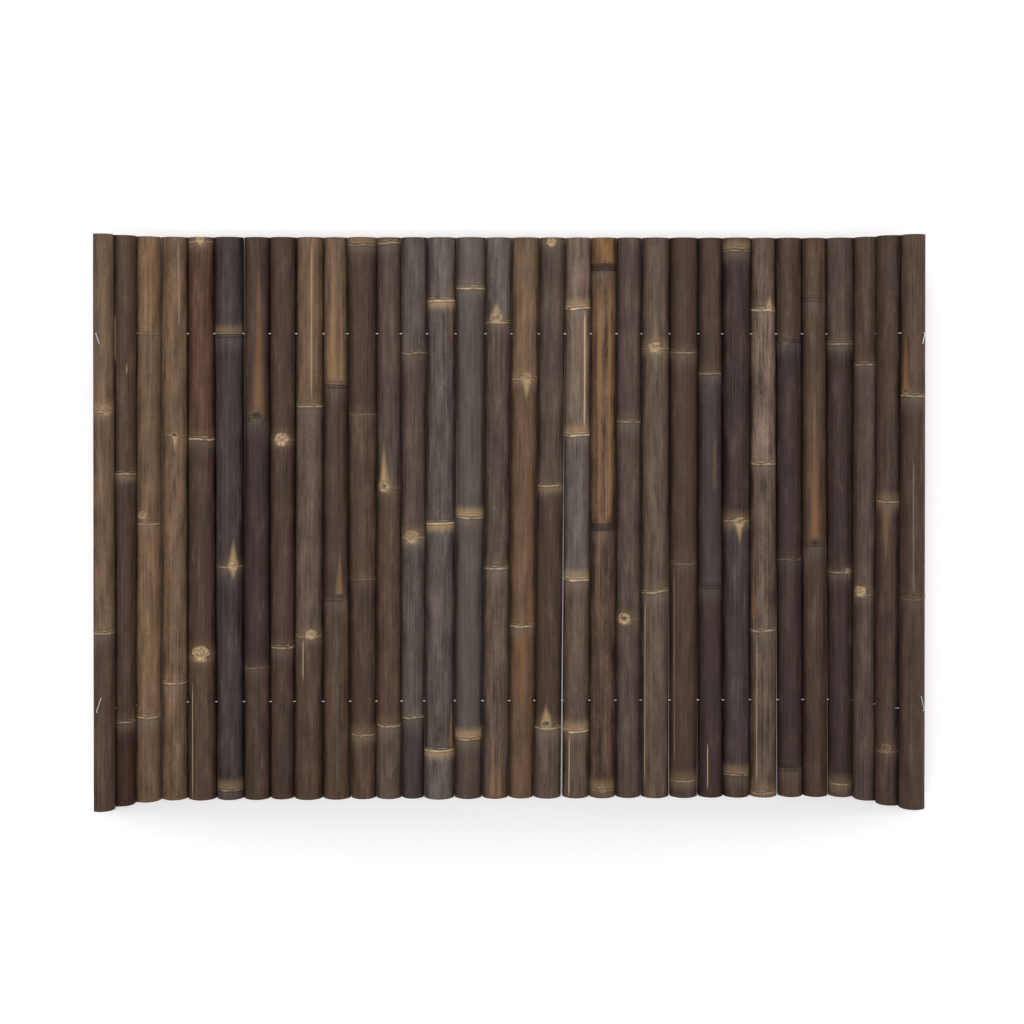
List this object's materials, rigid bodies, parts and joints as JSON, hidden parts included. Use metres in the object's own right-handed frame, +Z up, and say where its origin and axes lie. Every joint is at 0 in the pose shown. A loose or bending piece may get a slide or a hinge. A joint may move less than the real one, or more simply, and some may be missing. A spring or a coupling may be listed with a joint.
{
  "type": "half-round bamboo fence",
  "caption": "Fence panel of stained half-round bamboo culms threaded side by side on galvanised tie wires, with both ends curled forward so that it stands by itself.",
  "frame": {"origin": "middle of the panel's box on the ground that it stands on", "axes": "+X along the panel, +Y from the rounded faces to the split backs, +Z up the slats"},
  "size_m": [1.7347, 0.1312, 1.2],
  "materials": {
    "bamboo_charcoal": "stained, satin",
    "bamboo_grey": "stained, satin",
    "bamboo_brown": "stained, satin",
    "bamboo_russet": "stained, satin",
    "bamboo_tan": "stained, satin",
    "tie_wire": "galvanised"
  },
  "bodies": {
    "root": {"slat_01": "bamboo_grey", "slat_02": "bamboo_brown", "slat_03": "bamboo_tan", "slat_04": "bamboo_tan", "slat_05": "bamboo_russet", "slat_06": "bamboo_charcoal", "slat_07": "bamboo_charcoal", "slat_08": "bamboo_charcoal", "slat_09": "bamboo_russet", "slat_10": "bamboo_brown", "slat_11": "bamboo_brown", "slat_12": "bamboo_grey", "slat_13": "bamboo_charcoal", "slat_14": "bamboo_grey", "slat_15": "bamboo_grey", "slat_16": "bamboo_charcoal", "slat_17": "bamboo_russet", "slat_18": "bamboo_charcoal", "slat_19": "bamboo_tan", "slat_20": "bamboo_russet", "slat_21": "bamboo_grey", "slat_22": "bamboo_tan", "slat_23": "bamboo_brown", "slat_24": "bamboo_brown", "slat_25": "bamboo_charcoal", "slat_26": "bamboo_tan", "slat_27": "bamboo_charcoal", "slat_28": "bamboo_russet", "slat_29": "bamboo_charcoal", "slat_30": "bamboo_grey", "slat_31": "bamboo_brown", "slat_32": "bamboo_russet", "tie_wire_upper": "tie_wire", "tie_wire_lower": "tie_wire"}
  },
  "joints": []
}
